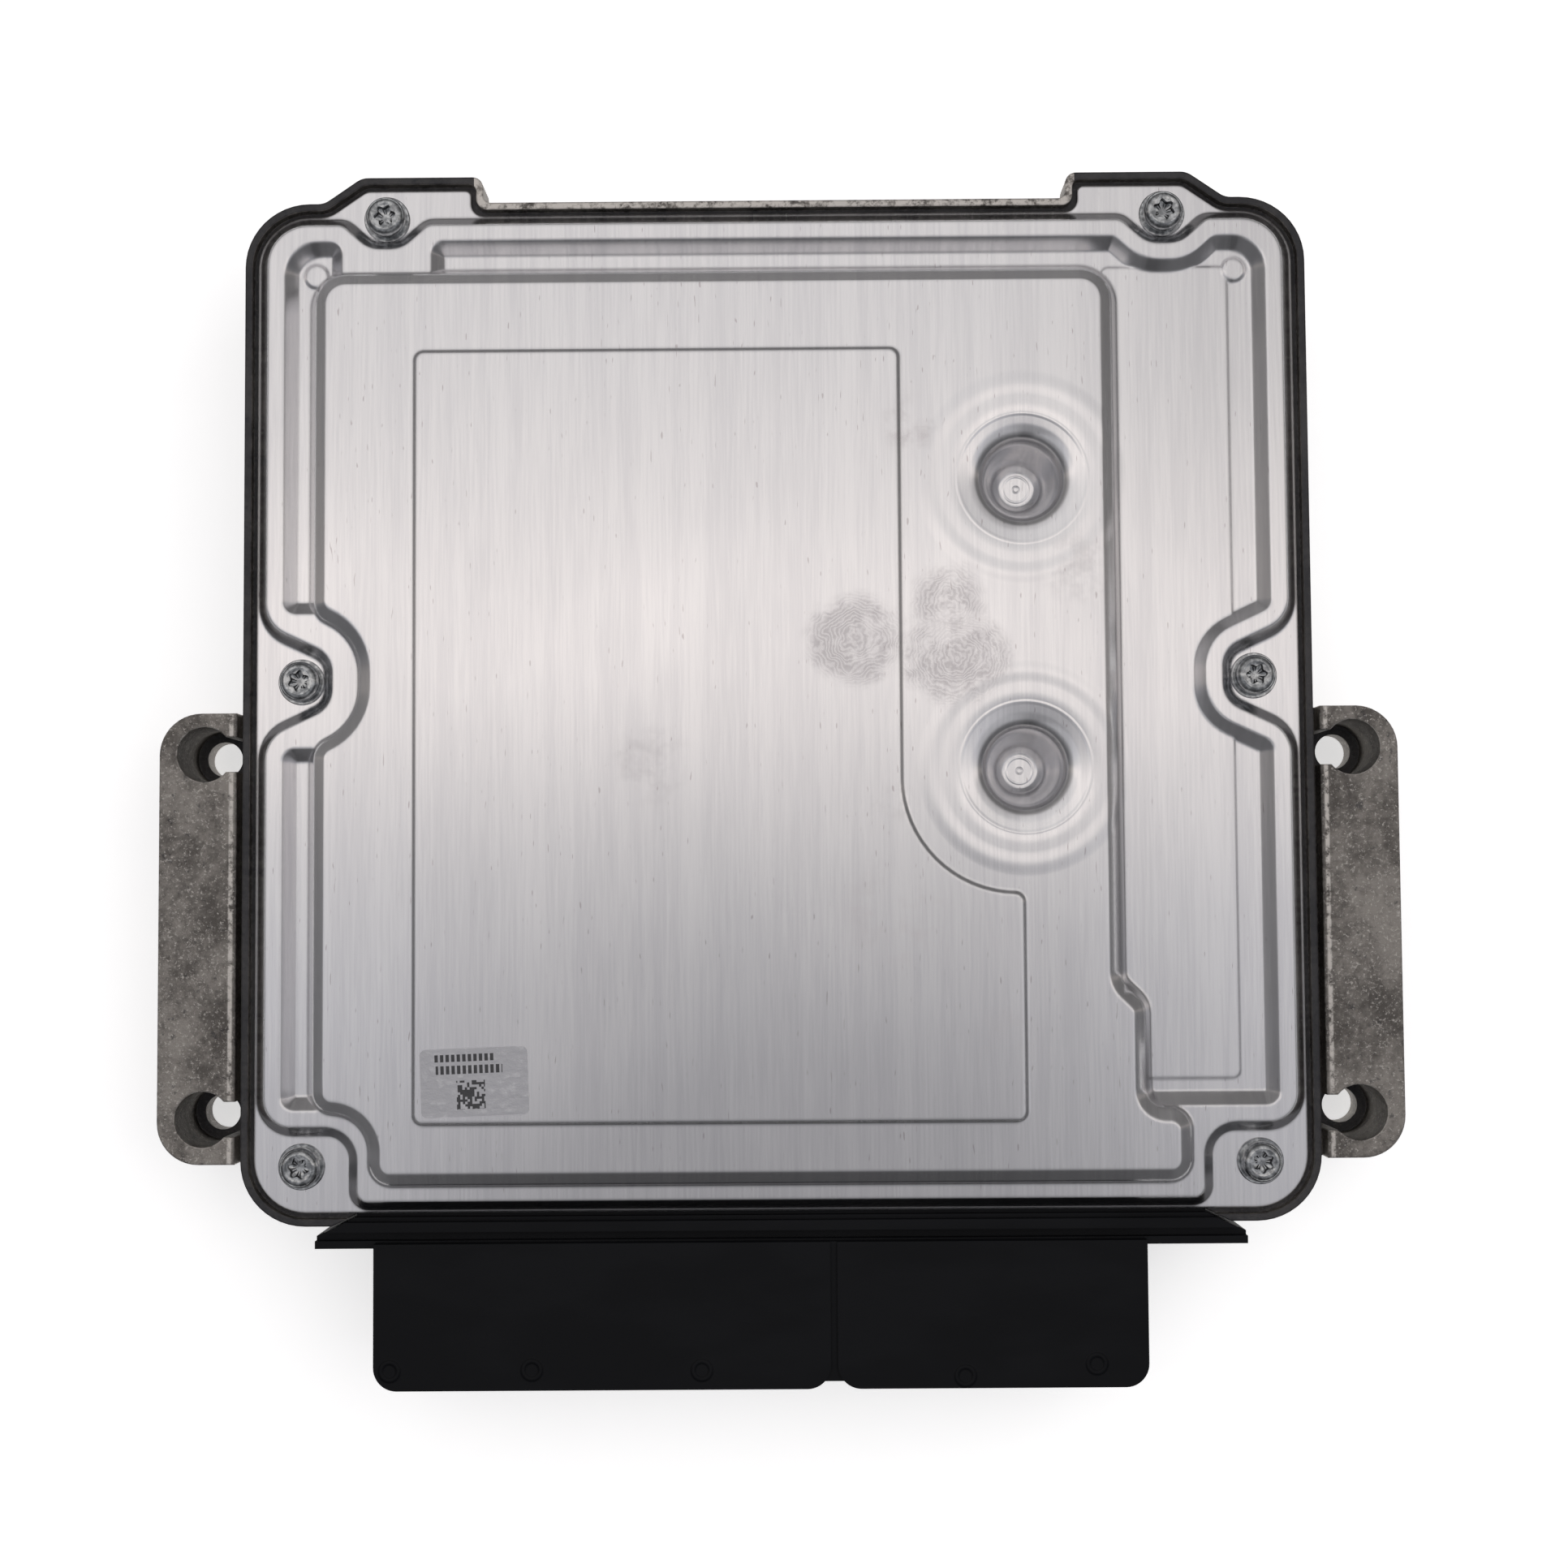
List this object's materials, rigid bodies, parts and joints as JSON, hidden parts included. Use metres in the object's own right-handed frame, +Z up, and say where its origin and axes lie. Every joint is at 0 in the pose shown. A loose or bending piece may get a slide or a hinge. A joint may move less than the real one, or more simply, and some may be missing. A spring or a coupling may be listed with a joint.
{
  "type": "engine control unit",
  "caption": "Engine control unit: cast aluminium tub with mounting ears, pressed aluminium cover with beads and deep dimples, black header with two keyed plug bays, circuit board inside.",
  "frame": {"origin": "under the middle of the tub, on the plane that its cooling panel and fins stand on", "axes": "+Z up out of the cover, -Y towards the mouths of the plug bays, +X to the right seen from above with the bays at the near side"},
  "size_m": [0.2192, 0.2111, 0.0322],
  "materials": {
    "cast_aluminium": "rough as-cast grey, bright where worn",
    "sheet_aluminium": "light satin sheet with fine streaks",
    "black_plastic": "satin moulded",
    "contact_metal": "tinned",
    "zinc_steel": "zinc plated",
    "sealant": "cured silicone",
    "board_laminate": "green solder resist",
    "chip_plastic": "moulded epoxy",
    "ceramic": "ceramic with tinned ends",
    "can_aluminium": "plain drawn can",
    "ferrite": "pressed ferrite powder",
    "thermal_pad": "soft gap filler",
    "label_film": "metallised film"
  },
  "bodies": {
    "root": {"housing": "cast_aluminium", "cover": "sheet_aluminium", "connector_header": "black_plastic", "signal_pins_large_bay": "contact_metal", "signal_pins_small_bay": "contact_metal", "power_blades": "contact_metal", "cover_screw_1": "zinc_steel", "cover_screw_2": "zinc_steel", "cover_screw_3": "zinc_steel", "cover_screw_4": "zinc_steel", "cover_screw_5": "zinc_steel", "cover_screw_6": "zinc_steel", "cover_gasket": "sealant", "header_seal": "sealant", "circuit_board": "board_laminate", "board_screws": "zinc_steel", "microcontroller": "chip_plastic", "power_supply_chip": "chip_plastic", "watchdog_chip": "chip_plastic", "driver_chips": "chip_plastic", "output_transistors": "chip_plastic", "rectifier_diodes": "chip_plastic", "shunt_resistors": "chip_plastic", "filter_capacitors": "ceramic", "crystal": "zinc_steel", "electrolytic_capacitors": "can_aluminium", "storage_coils": "ferrite", "dimple_pads": "thermal_pad", "pressure_sensor": "chip_plastic", "thermal_pads": "thermal_pad", "vent_plug": "black_plastic", "trace_label": "label_film"}
  },
  "joints": []
}
